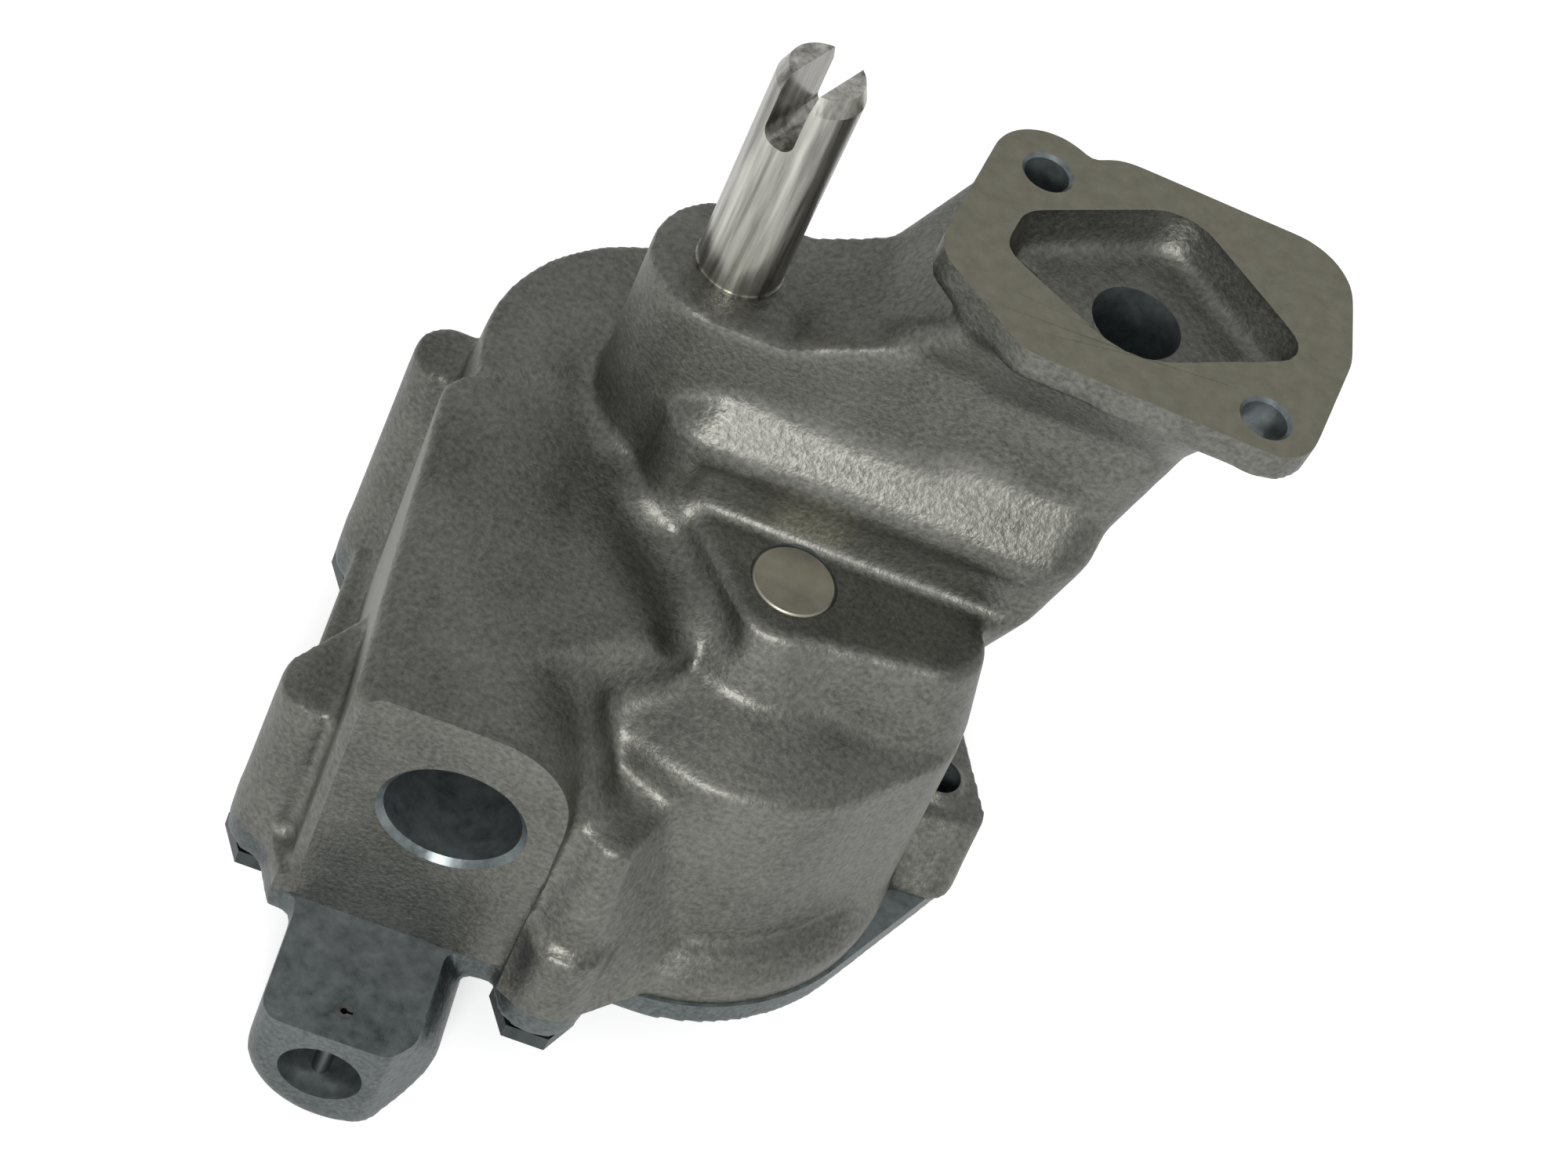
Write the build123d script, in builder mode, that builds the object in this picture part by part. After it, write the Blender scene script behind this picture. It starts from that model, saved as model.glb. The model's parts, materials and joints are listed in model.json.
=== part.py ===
# Engine oil pump: a cast-iron body with two spur gears, a slanting outlet neck up to a one-bolt
# mounting flange, a slotted drive shaft, an open pickup inlet in a flat pad, and a bottom cover
# that holds the relief valve.
# Frame, in millimetres: the origin is on the drive shaft's axis, level with the mounting face.
# +Z runs up the shaft, +X from the shaft to the mounting bolt, and -Y out of the pickup inlet.

import os
from math import acos, cos, degrees, hypot, pi, radians, sin, tan

from build123d import *

os.makedirs("parts", exist_ok=True)

# Gears
tooth_count = 12
gear_outside_r = 19.05
gear_length = 28.6
pressure_angle = 25
backlash = 0.12
root_clearance = 0.45
gear_line_angle = -46.6
flank_steps = 4
gear_module = 2 * gear_outside_r / (tooth_count + 2)
centre_distance = gear_module * tooth_count
idler_x = centre_distance * cos(radians(gear_line_angle))
idler_y = centre_distance * sin(radians(gear_line_angle))

# Shafts and running clearances
shaft_r = 6.25
running_gap = 0.04
tip_gap = 0.1
end_gap = 0.05
shaft_standout = 14
idler_shaft_chamfer = 0.5
shaft_end_r = 6.05
shaft_end_lift = 0.5
shaft_chamfer = 0.9
shaft_chamfer_rise = 2.4
drive_slot_width = 4.76
drive_slot_depth = 10
drive_slot_round = 1.7
drive_slot_angle = 62

# Heights of the casting, all below the mounting face
boss_drop = 22
roof_drop = 50.5
joint_drop = 106
joint_z = -joint_drop
boss_z = -boss_drop
roof_z = -roof_drop
cavity_top_z = joint_z + gear_length + 2 * end_gap
overrun = 6

# Walls round the gears
drive_wall_r = 28.5
drive_roof_step = 1.5
idler_wall_r = 27
shoulder_drop = 15.5
shoulder_rise = 5
wall_draft = 3.5
wall_corner_x = 43.7
wall_corner_y = -25.7
wall_corner_r = 10
lip_r = 34
lip_height = 4
lip_flare_height = 4
lip_flare_draft = 37
idler_boss_r = 10.5
idler_boss_foot_r = 14.5
roof_ridge_r = 5
roof_idler_r = 10.2
roof_draft = 12
roof_corner_share = 0.86
roof_corner_r = 7
roof_cut_drop = 6
shoulder_z = roof_z - shoulder_drop
drive_roof_z = roof_z + drive_roof_step

# Boss round the drive shaft, and the beam from it up to the flange
drive_boss_r = 12
beam_front = 12
beam_back = 11
beam_flat = 9
beam_length = 34
beam_rise = 14

# Pickup inlet pad, and the chamber behind it
pad_y = -61.5
inlet_x = -10
inlet_z = -77
inlet_r = 9.525
inlet_chamfer = 0.9
pad_left = 18
pad_right = 14.5
pad_crown = 19.5
pad_round = 13
pad_bevel = 2
chamber_line_angle = 27.4
chamber_line_y = 5.2
chamber_rise = 7.5
chamber_left = 35
chamber_right = 11
chamber_round = 5
inlet_pool_x = -4
inlet_pool_y = -25
inlet_pool_r = 9
inlet_pool_step = 2
lip_left = 35
lip_corner_x = -29
lip_corner_y = -49

# Saddle beside the ridge, and the fairing over the third lug, as shares of the drive wall's radius
saddle_shares = [(-0.49, -0.24), (0.193, -1.175), (-0.42, -1.47)]
saddle_r = 5
saddle_draft = 12
fairing_foot_shares = [(0.404, -2.14), (-0.05, -1.92), (0.92, -1.68)]
fairing_crown_shares = [(0.404, -2.05), (0.105, -1.88), (0.526, -1.68)]
fairing_foot_r = 6.5
fairing_crown_r = 3.2
fairing_drop = 72

# Outlet neck, whose sections are shares of the bolt's distance and of the roof's depth
bolt_x = 50.8
neck_corner_r = 7
neck_top_corner_r = 5
bulge_shares = [
    (1.31, 0.02, 0.98, -0.39, 0.28),
    (1.00, -0.05, 1.12, -0.365, 0.295),
    (0.77, -0.05, 1.18, -0.335, 0.295),
    (0.61, 0.02, 1.20, -0.20, 0.26),
]
neck_shares = [
    (0.80, (0.26, -0.10), (1.09, -0.10), (1.09, 0.16), (0.26, 0.16)),
    (0.34, (0.46, -0.12), (1.17, -0.12), (1.17, 0.19), (0.46, 0.19)),
    (0.10, (0.65, -0.20), (1.20, -0.25), (1.20, 0.28), (0.63, 0.31)),
]
outlet_pool_x = 26
outlet_pool_r = 8
outlet_pool_height = 31
outlet_bore_r = 5.6
outlet_mouth_r = 3.4
outlet_mouth_x = 34.3
outlet_mouth_y = -0.8

# Mounting flange, whose corners away from the first dowel are shares of its half length
flange_height = 5.3
flange_half = 28.5
flange_ear_shares = [(-0.807, -0.168, 0.21), (-0.467, -0.463, 0.218)]
flange_plate_shares = [
    (0.639, -0.505, 0.225),
    (0.688, 0.070, 0.298),
    (0.632, 0.439, 0.33),
    (-0.186, 0.519, 0.288),
]
dowel_dx = 17.2
dowel_dy = 14.8
dowel_r = 3.2
dowel_wall = 4.7
dowel_depth = 7
dowel_chamfer = 0.5
bolt_hole_r = 6.35
bolt_seat_drop = 38
spot_face_r = 10
spot_face_depth = 30
pocket_half = 20.5
pocket_depth = 6
pocket_wall = 2.5
pocket_floor = 2.5
pocket_draft = 18
pocket_shares = [
    (-0.83, -0.04, 0.175),
    (-0.741, 0.146, 0.224),
    (0.81, 0, 0.195),
    (0.085, 0.425, 0.39),
    (-0.065, -0.075, 0.55),
]

# Cover bolts, their washers and the lugs they thread into
bolt_r = 3.1
thread_gap = 0.06
bolt_length = 12.7
bolt_head_flats = 11.1
bolt_head_height = 3.8
bolt_head_chamfer = 0.8
cover_hole_gap = 0.4
washer_thickness = 1.4
washer_r = 5.4
washer_split = 0.9
thread_depth = 13
lug_r = 6.5
lug_reach = 10
lug_draft = 1.5

# Lug places as shares of the lip's radius, and their rises as shares of the joint's depth
lug_shares = [
    (-0.926, 0.118, 0.42),
    (-0.941, -1.426, 0.292),
    (0.338, -1.794, 0.13),
    (1.718, -0.332, 0.104),
    (0.382, 1.015, 0.245),
]

# Squared ear round the fourth lug, whose corners are shares of the lip's radius
ear_foot_shares = [(1.56, 0.044), (1.56, -0.735), (1.955, -0.735), (1.985, 0.044)]
ear_crown_shares = [(1.56, 0.103), (1.56, -0.57), (2.006, -0.485), (1.747, 0.103)]
ear_foot_r = 5.5
ear_crown_r = 3.1
cover_ear_shares = [(1.841, -0.2), (1.782, -0.509)]
cover_ear_r = 5.8

# Cover and its relief valve
cover_thickness = 5
ear_seat_depth = 1
ear_seat_wall = 0.6
cover_margin = 0.5
relief_x = -14
relief_reach = 20
relief_casting_x = -12.2
relief_casting_r = 12.8
relief_corner_width = 6.8
relief_corner_length = 8.4
relief_axis_drop = 9.4
relief_bore_r = 6
relief_bore_length = 45.5
relief_dome_setback = 2
relief_bevel = 2
bypass_setback = 6
bypass_r = 3
pressure_port_r = 3
rib_r = 6.5
rib_depth = 15
piston_gap = 0.04
piston_length = 18
piston_cup_r = 4.7
piston_cup_depth = 12
piston_rest_gap = 0.05
piston_bevel = 0.6
pin_setback = 5
pin_r = 1.3
pin_bore_r = 0.5
pin_slot = 0.35
pin_gap = 0.01
pin_recess = 0.1
pin_floor = 5
spring_r = 3.7
spring_wire_r = 0.6
spring_turns = 9
spring_gap = 0.1
relief_z = joint_z - relief_axis_drop
relief_end_y = pad_y - relief_reach
relief_seat_y = relief_end_y + relief_bore_length
cover_z = joint_z - cover_thickness
ear_seat_z = cover_z + ear_seat_depth
pin_y = relief_end_y + pin_setback

lugs = [(x * lip_r, y * lip_r, rise * joint_drop) for x, y, rise in lug_shares]
gear_axes = [(0, 0), (idler_x, idler_y)]
cover_ear = [(x * lip_r, y * lip_r, cover_ear_r) for x, y in cover_ear_shares]


def hulled(circles):
    """Draw (x, y, radius) circles in the open sketch, with one outline round them all."""
    edges = ShapeList()
    for x, y, r in circles:
        with Locations((x, y)):
            edges += Circle(r).edges()
    make_hull(edges)


def rounded_box(x_low, x_high, y_low, y_high, corner_r):
    """Draw a rounded rectangle between two corners of the open sketch."""
    with Locations(((x_low + x_high) / 2, (y_low + y_high) / 2)):
        RectangleRounded(x_high - x_low, y_high - y_low, corner_r)


def rounded_corners(shares, corner_r):
    """Draw the ear's outline between corners given as shares of the lip's radius, and round them."""
    with BuildLine() as outline:
        Polyline(*[(x * lip_r, y * lip_r) for x, y in shares], close=True)
    face = make_face(outline.edges())
    fillet(face.vertices(), corner_r)


def drafted_hull(circles, z, rise, draft, mode=Mode.ADD):
    """Add or cut a block round (x, y, radius) circles, which narrows by its draft from z on."""
    narrowing = abs(rise) * tan(radians(draft))
    with BuildSketch(Plane.XY.offset(z)) as foot:
        hulled(circles)
    with BuildSketch(Plane.XY.offset(z + rise)) as top:
        hulled([(x, y, r - narrowing) for x, y, r in circles])
    loft([foot.sketch, top.sketch], ruled=True, mode=mode)


def lug_circles(x, y, r):
    """Give a lug's circle, and a second one that makes its web towards the nearest gear axis."""
    axis_x, axis_y = min(gear_axes, key=lambda axis: hypot(axis[0] - x, axis[1] - y))
    reach = lug_reach / hypot(axis_x - x, axis_y - y)
    return [(x, y, r), (x + (axis_x - x) * reach, y + (axis_y - y) * reach, r)]


def joint_outline(rim_r, lug_radius):
    """Draw the outline that the body's lip and the cover share at the joint."""
    hulled([(0, 0, rim_r), (idler_x, idler_y, rim_r)])
    with BuildLine() as inlet_corner:
        Polyline(
            (-lip_left, 0),
            (-lip_left, lip_corner_y),
            (lip_corner_x, pad_y),
            (inlet_x + pad_right, pad_y),
            (inlet_x + pad_right, 0),
            close=True,
        )
    make_face(inlet_corner.edges())
    for x, y, rise in lugs:
        hulled(lug_circles(x, y, lug_radius))


def pad_outline(left, right, crown, corner_r):
    """Draw the inlet block seen from its pad, from the joint up to its crown."""
    with BuildLine() as outline:
        Polyline(
            (-left, joint_z),
            (-left, crown - pad_bevel),
            (pad_bevel - left, crown),
            (right - corner_r, crown),
        )
        RadiusArc((right - corner_r, crown), (right, crown - corner_r), corner_r)
        Polyline((right, crown - corner_r), (right, joint_z), (-left, joint_z))
    make_face(outline.edges())


def tooth_half_angle(r):
    """Half the angle that a tooth spans at a radius, from the involute through its pitch point."""
    pitch_r = centre_distance / 2
    base_r = pitch_r * cos(radians(pressure_angle))
    slope = acos(min(1, base_r / r))
    pitch_slope = radians(pressure_angle)
    half_thickness = (pi * gear_module / 2 - backlash) / 2
    return half_thickness / pitch_r + (tan(pitch_slope) - pitch_slope) - (tan(slope) - slope)


def gear_outline(first_tooth_angle):
    """Draw a spur gear's outline, tooth by tooth, centred on the open sketch."""
    pitch = 360 / tooth_count
    pitch_r = centre_distance / 2
    base_r = pitch_r * cos(radians(pressure_angle))
    root_r = centre_distance - gear_outside_r - root_clearance
    radii = [base_r + (gear_outside_r - base_r) * step / flank_steps for step in range(flank_steps + 1)]
    angles = [degrees(tooth_half_angle(r)) for r in radii]
    with BuildLine() as outline:
        for tooth in range(tooth_count):
            middle = first_tooth_angle + tooth * pitch
            rising = [Vector(r, 0).rotate(Axis.Z, middle - angle) for r, angle in zip(radii, angles)]
            falling = [Vector(r, 0).rotate(Axis.Z, middle + angle) for r, angle in zip(radii, angles)]
            root_start = Vector(root_r, 0).rotate(Axis.Z, middle - angles[0])
            root_end = Vector(root_r, 0).rotate(Axis.Z, middle + angles[0])
            next_start = Vector(root_r, 0).rotate(Axis.Z, middle + pitch - angles[0])
            root_middle = Vector(root_r, 0).rotate(Axis.Z, middle + pitch / 2)
            Line(root_start, rising[0])
            Spline(*rising)
            ThreePointArc(rising[-1], Vector(gear_outside_r, 0).rotate(Axis.Z, middle), falling[-1])
            Spline(*reversed(falling))
            Line(falling[0], root_end)
            ThreePointArc(root_end, root_middle, next_start)
    make_face(outline.edges())


# Saddle of the body casting, whose top follows the slope of the inlet block's roof
saddle_circles = [(x * drive_wall_r, y * drive_wall_r, saddle_r) for x, y in saddle_shares]
saddle_height = drive_roof_z - shoulder_z
with BuildPart() as saddle:
    drafted_hull(
        [(x, y, r + saddle_height * tan(radians(saddle_draft))) for x, y, r in saddle_circles],
        shoulder_z,
        saddle_height,
        saddle_draft,
    )
    with BuildSketch(Plane.YZ):
        with BuildLine():
            Polyline(
                (pad_y, shoulder_z - overrun),
                (pad_y, inlet_z + pad_crown),
                (chamber_line_y, inlet_z + pad_crown + chamber_rise),
                (chamber_line_y, shoulder_z - overrun),
                close=True,
            )
        make_face()
    extrude(amount=drive_wall_r + saddle_r, both=True, mode=Mode.INTERSECT)

# Body casting
with BuildPart() as pump_body:
    # Lip and lugs at the joint
    with BuildSketch(Plane.XY.offset(joint_z)):
        joint_outline(lip_r, lug_r)
    extrude(amount=lip_height)
    lip_circles = [(x, y, lip_r) for x, y in gear_axes]
    drafted_hull(lip_circles, joint_z + lip_height, lip_flare_height, lip_flare_draft)
    for lug_x, lug_y, lug_rise in lugs:
        drafted_hull(lug_circles(lug_x, lug_y, lug_r), joint_z, lug_rise, lug_draft)
    with BuildSketch(Plane.XY.offset(joint_z)):
        hulled([(x * drive_wall_r, y * drive_wall_r, fairing_foot_r) for x, y in fairing_foot_shares])
    with BuildSketch(Plane.XY.offset(-fairing_drop)):
        hulled([(x * drive_wall_r, y * drive_wall_r, fairing_crown_r) for x, y in fairing_crown_shares])
    loft(ruled=True)
    with BuildSketch(Plane.XY.offset(joint_z)):
        rounded_corners(ear_foot_shares, ear_foot_r)
    with BuildSketch(Plane.XY.offset(joint_z + lugs[3][2])):
        rounded_corners(ear_crown_shares, ear_crown_r)
    loft(ruled=True)

    # Walls round the two gears
    wall_height = shoulder_z - joint_z
    wall_spread = wall_height * tan(radians(wall_draft))
    wall_circles = [(x, y, idler_wall_r + wall_spread) for x, y in gear_axes]
    wall_circles.append((wall_corner_x, wall_corner_y, wall_corner_r + wall_spread))
    drafted_hull(wall_circles, joint_z, wall_height, wall_draft)
    drive_height = drive_roof_z - joint_z
    with BuildSketch(Plane.XY.offset(joint_z)):
        Circle(drive_wall_r + drive_height * tan(radians(wall_draft)))
    extrude(amount=drive_height, taper=wall_draft)

    # The drive gear's roof ends at the inlet block's back line
    chamber_plane = Plane(
        origin=(0, chamber_line_y, 0),
        x_dir=(cos(radians(chamber_line_angle)), sin(radians(chamber_line_angle)), 0),
        z_dir=(sin(radians(chamber_line_angle)), -cos(radians(chamber_line_angle)), 0),
    )
    with BuildSketch(chamber_plane):
        with Locations((0, drive_roof_z)):
            Rectangle(4 * drive_wall_r, 2 * roof_cut_drop)
    extrude(amount=2 * drive_wall_r, mode=Mode.SUBTRACT)

    # Shoulder and boss over the idler gear
    with BuildSketch(Plane(origin=(idler_x, idler_y, 0), x_dir=(1, 0, 0), z_dir=(0, -1, 0))):
        with BuildLine():
            Polyline(
                (0, shoulder_z - overrun),
                (idler_wall_r, shoulder_z),
                (idler_boss_foot_r, shoulder_z + shoulder_rise),
                (idler_boss_r, roof_z),
                (0, roof_z),
                close=True,
            )
        make_face()
    revolve(axis=Axis((idler_x, idler_y, 0), (0, 0, 1)))

    # Raised roof that joins the two bosses
    roof_circles = [
        (0, 0, roof_ridge_r),
        (idler_x, idler_y, roof_idler_r),
        (roof_corner_share * bolt_x, idler_y, roof_corner_r),
    ]
    drafted_hull(roof_circles, roof_z, -shoulder_drop, -roof_draft)

    # Boss round the drive shaft, and the beam up to the flange
    with BuildSketch(Plane.XY.offset(shoulder_z)):
        Circle(drive_boss_r)
    extrude(amount=boss_z - shoulder_z)
    with BuildSketch(Plane.XZ.offset(beam_front)):
        with BuildLine():
            Polyline(
                (0, boss_z),
                (beam_flat, boss_z),
                (beam_length, boss_z + beam_rise),
                (beam_length, roof_z),
                (0, roof_z),
                close=True,
            )
        make_face()
    extrude(amount=-(beam_front + beam_back))

    # Inlet block behind the pad
    pad_left_x = pad_left - inlet_x
    with BuildSketch(Plane.XZ.offset(-pad_y)):
        pad_outline(pad_left_x - pad_bevel, pad_right + inlet_x, inlet_z + pad_crown, pad_round)
    with BuildSketch(Plane.XZ.offset(-pad_y - pad_bevel)):
        pad_outline(pad_left_x, pad_right + inlet_x, inlet_z + pad_crown, pad_round)
    with BuildSketch(chamber_plane):
        pad_outline(chamber_left, -chamber_right, inlet_z + pad_crown + chamber_rise, chamber_round)
    loft(ruled=True)
    add(saddle.part)

    # Outlet neck: a bulging foot, and the column above it
    for drop, x_low, x_high, y_low, y_high in bulge_shares:
        with BuildSketch(Plane.XY.offset(-drop * roof_drop)):
            rounded_box(x_low * bolt_x, x_high * bolt_x, y_low * bolt_x, y_high * bolt_x, neck_corner_r)
    loft(ruled=True)
    for drop, *corners in neck_shares:
        with BuildSketch(Plane.XY.offset(-drop * roof_drop)):
            hulled([(x * bolt_x, y * bolt_x, neck_top_corner_r) for x, y in corners])
    loft(ruled=True)

    # Mounting flange
    with BuildSketch(Plane.XY.offset(-flange_height)):
        ear_circles, plate_circles = [
            [(bolt_x + x * flange_half, y * flange_half, r * flange_half) for x, y, r in shares]
            for shares in (flange_ear_shares, flange_plate_shares)
        ]
        hulled([(bolt_x - dowel_dx, dowel_dy, dowel_r + dowel_wall)] + ear_circles)
        hulled(ear_circles + plate_circles)
    extrude(amount=flange_height)

    # Oil pocket in the mounting face, the bolt hole and its seat from below
    pocket_circles = [
        (bolt_x + x * pocket_half, y * pocket_half, r * pocket_half) for x, y, r in pocket_shares
    ]
    pocket_case = [(x, y, r + pocket_wall) for x, y, r in pocket_circles]
    drafted_hull(pocket_case, 0, -pocket_depth - pocket_floor, pocket_draft)
    drafted_hull(pocket_circles, 0, -pocket_depth, pocket_draft, mode=Mode.SUBTRACT)
    with BuildSketch(Plane.XY.offset(-bolt_seat_drop)):
        with Locations((bolt_x, 0)):
            Circle(bolt_hole_r)
    extrude(amount=bolt_seat_drop, mode=Mode.SUBTRACT)
    with BuildSketch(Plane.XY.offset(-bolt_seat_drop)):
        with Locations((bolt_x, 0)):
            Circle(spot_face_r)
    extrude(amount=-spot_face_depth, mode=Mode.SUBTRACT)

    # Dowel holes
    with Locations((bolt_x - dowel_dx, dowel_dy, 0), (bolt_x + dowel_dx, -dowel_dy, 0)):
        CounterSinkHole(dowel_r, dowel_r + dowel_chamfer, depth=dowel_depth, counter_sink_angle=90)

    # Chamber for the gears, with a pool on each side of their mesh
    with BuildSketch(Plane.XY.offset(joint_z)):
        for axis in gear_axes:
            with Locations(axis):
                Circle(gear_outside_r + tip_gap)
    extrude(amount=cavity_top_z - joint_z, mode=Mode.SUBTRACT)
    with BuildSketch(Plane.XY.offset(joint_z)):
        with Locations((inlet_pool_x, inlet_pool_y)):
            Circle(inlet_pool_r)
    extrude(amount=inlet_z + inlet_r - inlet_pool_step - joint_z, mode=Mode.SUBTRACT)
    with BuildSketch(Plane.XY.offset(joint_z)):
        with Locations((outlet_pool_x, 0)):
            Circle(outlet_pool_r)
    extrude(amount=outlet_pool_height, mode=Mode.SUBTRACT)

    # Slanting outlet bore from the pool to the pocket
    with BuildSketch(Plane.XY.offset(joint_z + outlet_pool_height - outlet_bore_r)):
        with Locations((outlet_pool_x, 0)):
            Circle(outlet_bore_r)
    with BuildSketch():
        with Locations((outlet_mouth_x, outlet_mouth_y)):
            Circle(outlet_mouth_r)
    loft(ruled=True, mode=Mode.SUBTRACT)

    # Pickup inlet bore
    with BuildSketch(Plane.XZ.offset(-pad_y)):
        with Locations((inlet_x, inlet_z)):
            Circle(inlet_r)
    extrude(amount=pad_y - inlet_pool_y, mode=Mode.SUBTRACT)
    with BuildSketch(Plane.XZ.offset(-pad_y)):
        with Locations((inlet_x, inlet_z)):
            Circle(inlet_r + inlet_chamfer)
    extrude(amount=-inlet_chamfer, taper=45, mode=Mode.SUBTRACT)

    # Relief oil comes back into the inlet
    with BuildSketch(Plane.XY.offset(joint_z)):
        with Locations((relief_x, relief_seat_y - bypass_setback)):
            Circle(bypass_r)
    extrude(amount=inlet_z - joint_z, mode=Mode.SUBTRACT)

    # Shaft bores and threaded holes
    with BuildSketch(Plane.XY.offset(joint_z)):
        Circle(shaft_r + running_gap)
    extrude(amount=joint_drop, mode=Mode.SUBTRACT)
    with BuildSketch(Plane.XY.offset(joint_z)):
        with Locations((idler_x, idler_y)):
            Circle(shaft_r)
    extrude(amount=joint_drop - roof_drop, mode=Mode.SUBTRACT)
    with BuildSketch(Plane.XY.offset(joint_z)):
        with Locations([(x, y) for x, y, rise in lugs]):
            Circle(bolt_r + thread_gap)
    extrude(amount=thread_depth, mode=Mode.SUBTRACT)

# Cover casting
with BuildPart() as cover:
    with BuildSketch(Plane.XY.offset(cover_z)):
        joint_outline(lip_r + cover_margin, lug_r)
        hulled([(idler_x, idler_y, lip_r + cover_margin)] + cover_ear)
    extrude(amount=cover_thickness)

    # Relief tunnel, flat on top and round below, with its side towards the idler round as well
    relief_outline = Plane.XZ.offset(-relief_end_y)
    with BuildSketch(relief_outline):
        with Locations((relief_casting_x, relief_z)):
            Circle(relief_casting_r)
            Rectangle(relief_casting_r, relief_axis_drop, align=(Align.MAX, Align.MIN))
        with Locations((relief_casting_x, joint_z)):
            Rectangle(2 * relief_casting_r, overrun, align=(Align.CENTER, Align.MIN), mode=Mode.SUBTRACT)
    extrude(amount=-(relief_bore_length - relief_dome_setback))
    chamfer(cover.faces().sort_by(Axis.Y)[0].edges().filter_by(Axis.Z), relief_bevel)
    relief_right_x = relief_casting_x + relief_casting_r
    with BuildSketch(Plane.XY.offset(joint_z)):
        with BuildLine():
            Polyline(
                (relief_right_x, relief_end_y),
                (relief_right_x, relief_end_y + relief_corner_length),
                (relief_right_x - relief_corner_width, relief_end_y),
                close=True,
            )
        make_face()
    extrude(amount=-(relief_axis_drop + relief_casting_r), mode=Mode.SUBTRACT)
    with Locations((relief_casting_x, relief_seat_y - relief_dome_setback, relief_z)):
        Sphere(relief_casting_r)
    with BuildSketch(Plane.XY.offset(joint_z)):
        with Locations((relief_casting_x, relief_seat_y)):
            Rectangle(4 * relief_casting_r, 4 * relief_casting_r)
    extrude(amount=overrun, mode=Mode.SUBTRACT)

    # Rib that carries the pressure passage across from the outlet side
    rib_circles = [(relief_x, relief_seat_y, rib_r), (outlet_pool_x, 0, rib_r)]
    drafted_hull(rib_circles, cover_z, cover_thickness - rib_depth, wall_draft)

    # Relief bore, its pressure passage, and the bypass port
    with BuildSketch(relief_outline):
        with Locations((relief_x, relief_z)):
            Circle(relief_bore_r)
    extrude(amount=-relief_bore_length, mode=Mode.SUBTRACT)
    passage_plane = Plane(
        origin=(relief_x, relief_seat_y, relief_z),
        x_dir=(0, 0, 1),
        z_dir=(outlet_pool_x - relief_x, -relief_seat_y, 0),
    )
    passage_length = hypot(outlet_pool_x - relief_x, relief_seat_y)
    with BuildSketch(passage_plane):
        Circle(pressure_port_r)
    extrude(amount=passage_length, mode=Mode.SUBTRACT)
    with BuildSketch(Plane.XY.offset(joint_z)):
        with Locations((outlet_pool_x, 0)):
            Circle(pressure_port_r)
    extrude(amount=relief_z - joint_z, mode=Mode.SUBTRACT)
    with BuildSketch(Plane.XY.offset(joint_z)):
        with Locations((relief_x, relief_seat_y - bypass_setback)):
            Circle(bypass_r)
    extrude(amount=relief_z - joint_z, mode=Mode.SUBTRACT)

    # Roll pin hole and bolt holes
    with BuildSketch(Plane.XY.offset(joint_z)):
        with Locations((relief_x, pin_y)):
            Circle(pin_r + pin_gap)
    extrude(amount=-(relief_axis_drop + relief_casting_r - pin_floor), mode=Mode.SUBTRACT)
    with BuildSketch(Plane.XY.offset(joint_z)):
        with Locations([(x, y) for x, y, rise in lugs]):
            Circle(bolt_r + cover_hole_gap)
    extrude(amount=-cover_thickness, mode=Mode.SUBTRACT)
    with BuildSketch(Plane.XY.offset(cover_z)):
        with Locations([(x, y) for x, y, rise in lugs]):
            Circle(washer_r + ear_seat_wall)
    extrude(amount=ear_seat_depth, mode=Mode.SUBTRACT)

# Drive shaft, slotted across its top end
with BuildPart() as drive_shaft:
    shaft_end_z = boss_z + shaft_end_lift
    with BuildSketch(Plane.XY.offset(joint_z + end_gap)):
        Circle(shaft_r)
    extrude(amount=shaft_end_z - joint_z - end_gap)
    with BuildSketch(Plane.XY.offset(shaft_end_z)):
        Circle(shaft_end_r)
    extrude(amount=shaft_standout - shaft_end_z)
    chamfer(drive_shaft.edges().sort_by(Axis.Z)[-1], shaft_chamfer_rise, shaft_chamfer)
    with BuildSketch(Plane.XZ.rotated((0, 0, drive_slot_angle + 90))):
        with Locations((0, shaft_standout)):
            RectangleRounded(drive_slot_width, 2 * drive_slot_depth, drive_slot_round)
    extrude(amount=2 * shaft_r, both=True, mode=Mode.SUBTRACT)

# Gears, cut so that a drive tooth lies in an idler gap on the line between their axes
with BuildPart() as drive_gear:
    with BuildSketch(Plane.XY.offset(joint_z + end_gap)):
        gear_outline(gear_line_angle)
        Circle(shaft_r, mode=Mode.SUBTRACT)
    extrude(amount=gear_length)

with BuildPart() as idler_gear:
    with BuildSketch(Plane(origin=(idler_x, idler_y, joint_z + end_gap))):
        gear_outline(gear_line_angle + 180 + 180 / tooth_count)
        Circle(shaft_r + running_gap, mode=Mode.SUBTRACT)
    extrude(amount=gear_length)

# Idler shaft, pressed into the body and flush with its roof
with BuildPart() as idler_shaft:
    with BuildSketch(Plane(origin=(idler_x, idler_y, joint_z + end_gap))):
        Circle(shaft_r)
    extrude(amount=joint_drop - roof_drop - end_gap)
    chamfer(idler_shaft.edges().sort_by(Axis.Z)[-1], idler_shaft_chamfer)

# Relief piston, a cup that opens towards the spring
with BuildPart() as relief_piston:
    with BuildSketch(Plane.XZ.offset(-(relief_seat_y - piston_rest_gap - piston_length))):
        with Locations((relief_x, relief_z)):
            Circle(relief_bore_r - piston_gap)
    extrude(amount=-piston_length)
    chamfer(relief_piston.edges().sort_by(Axis.Y)[-1], piston_bevel)
    with BuildSketch(Plane.XZ.offset(-(relief_seat_y - piston_rest_gap - piston_length))):
        with Locations((relief_x, relief_z)):
            Circle(piston_cup_r)
    extrude(amount=-piston_cup_depth, mode=Mode.SUBTRACT)

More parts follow.
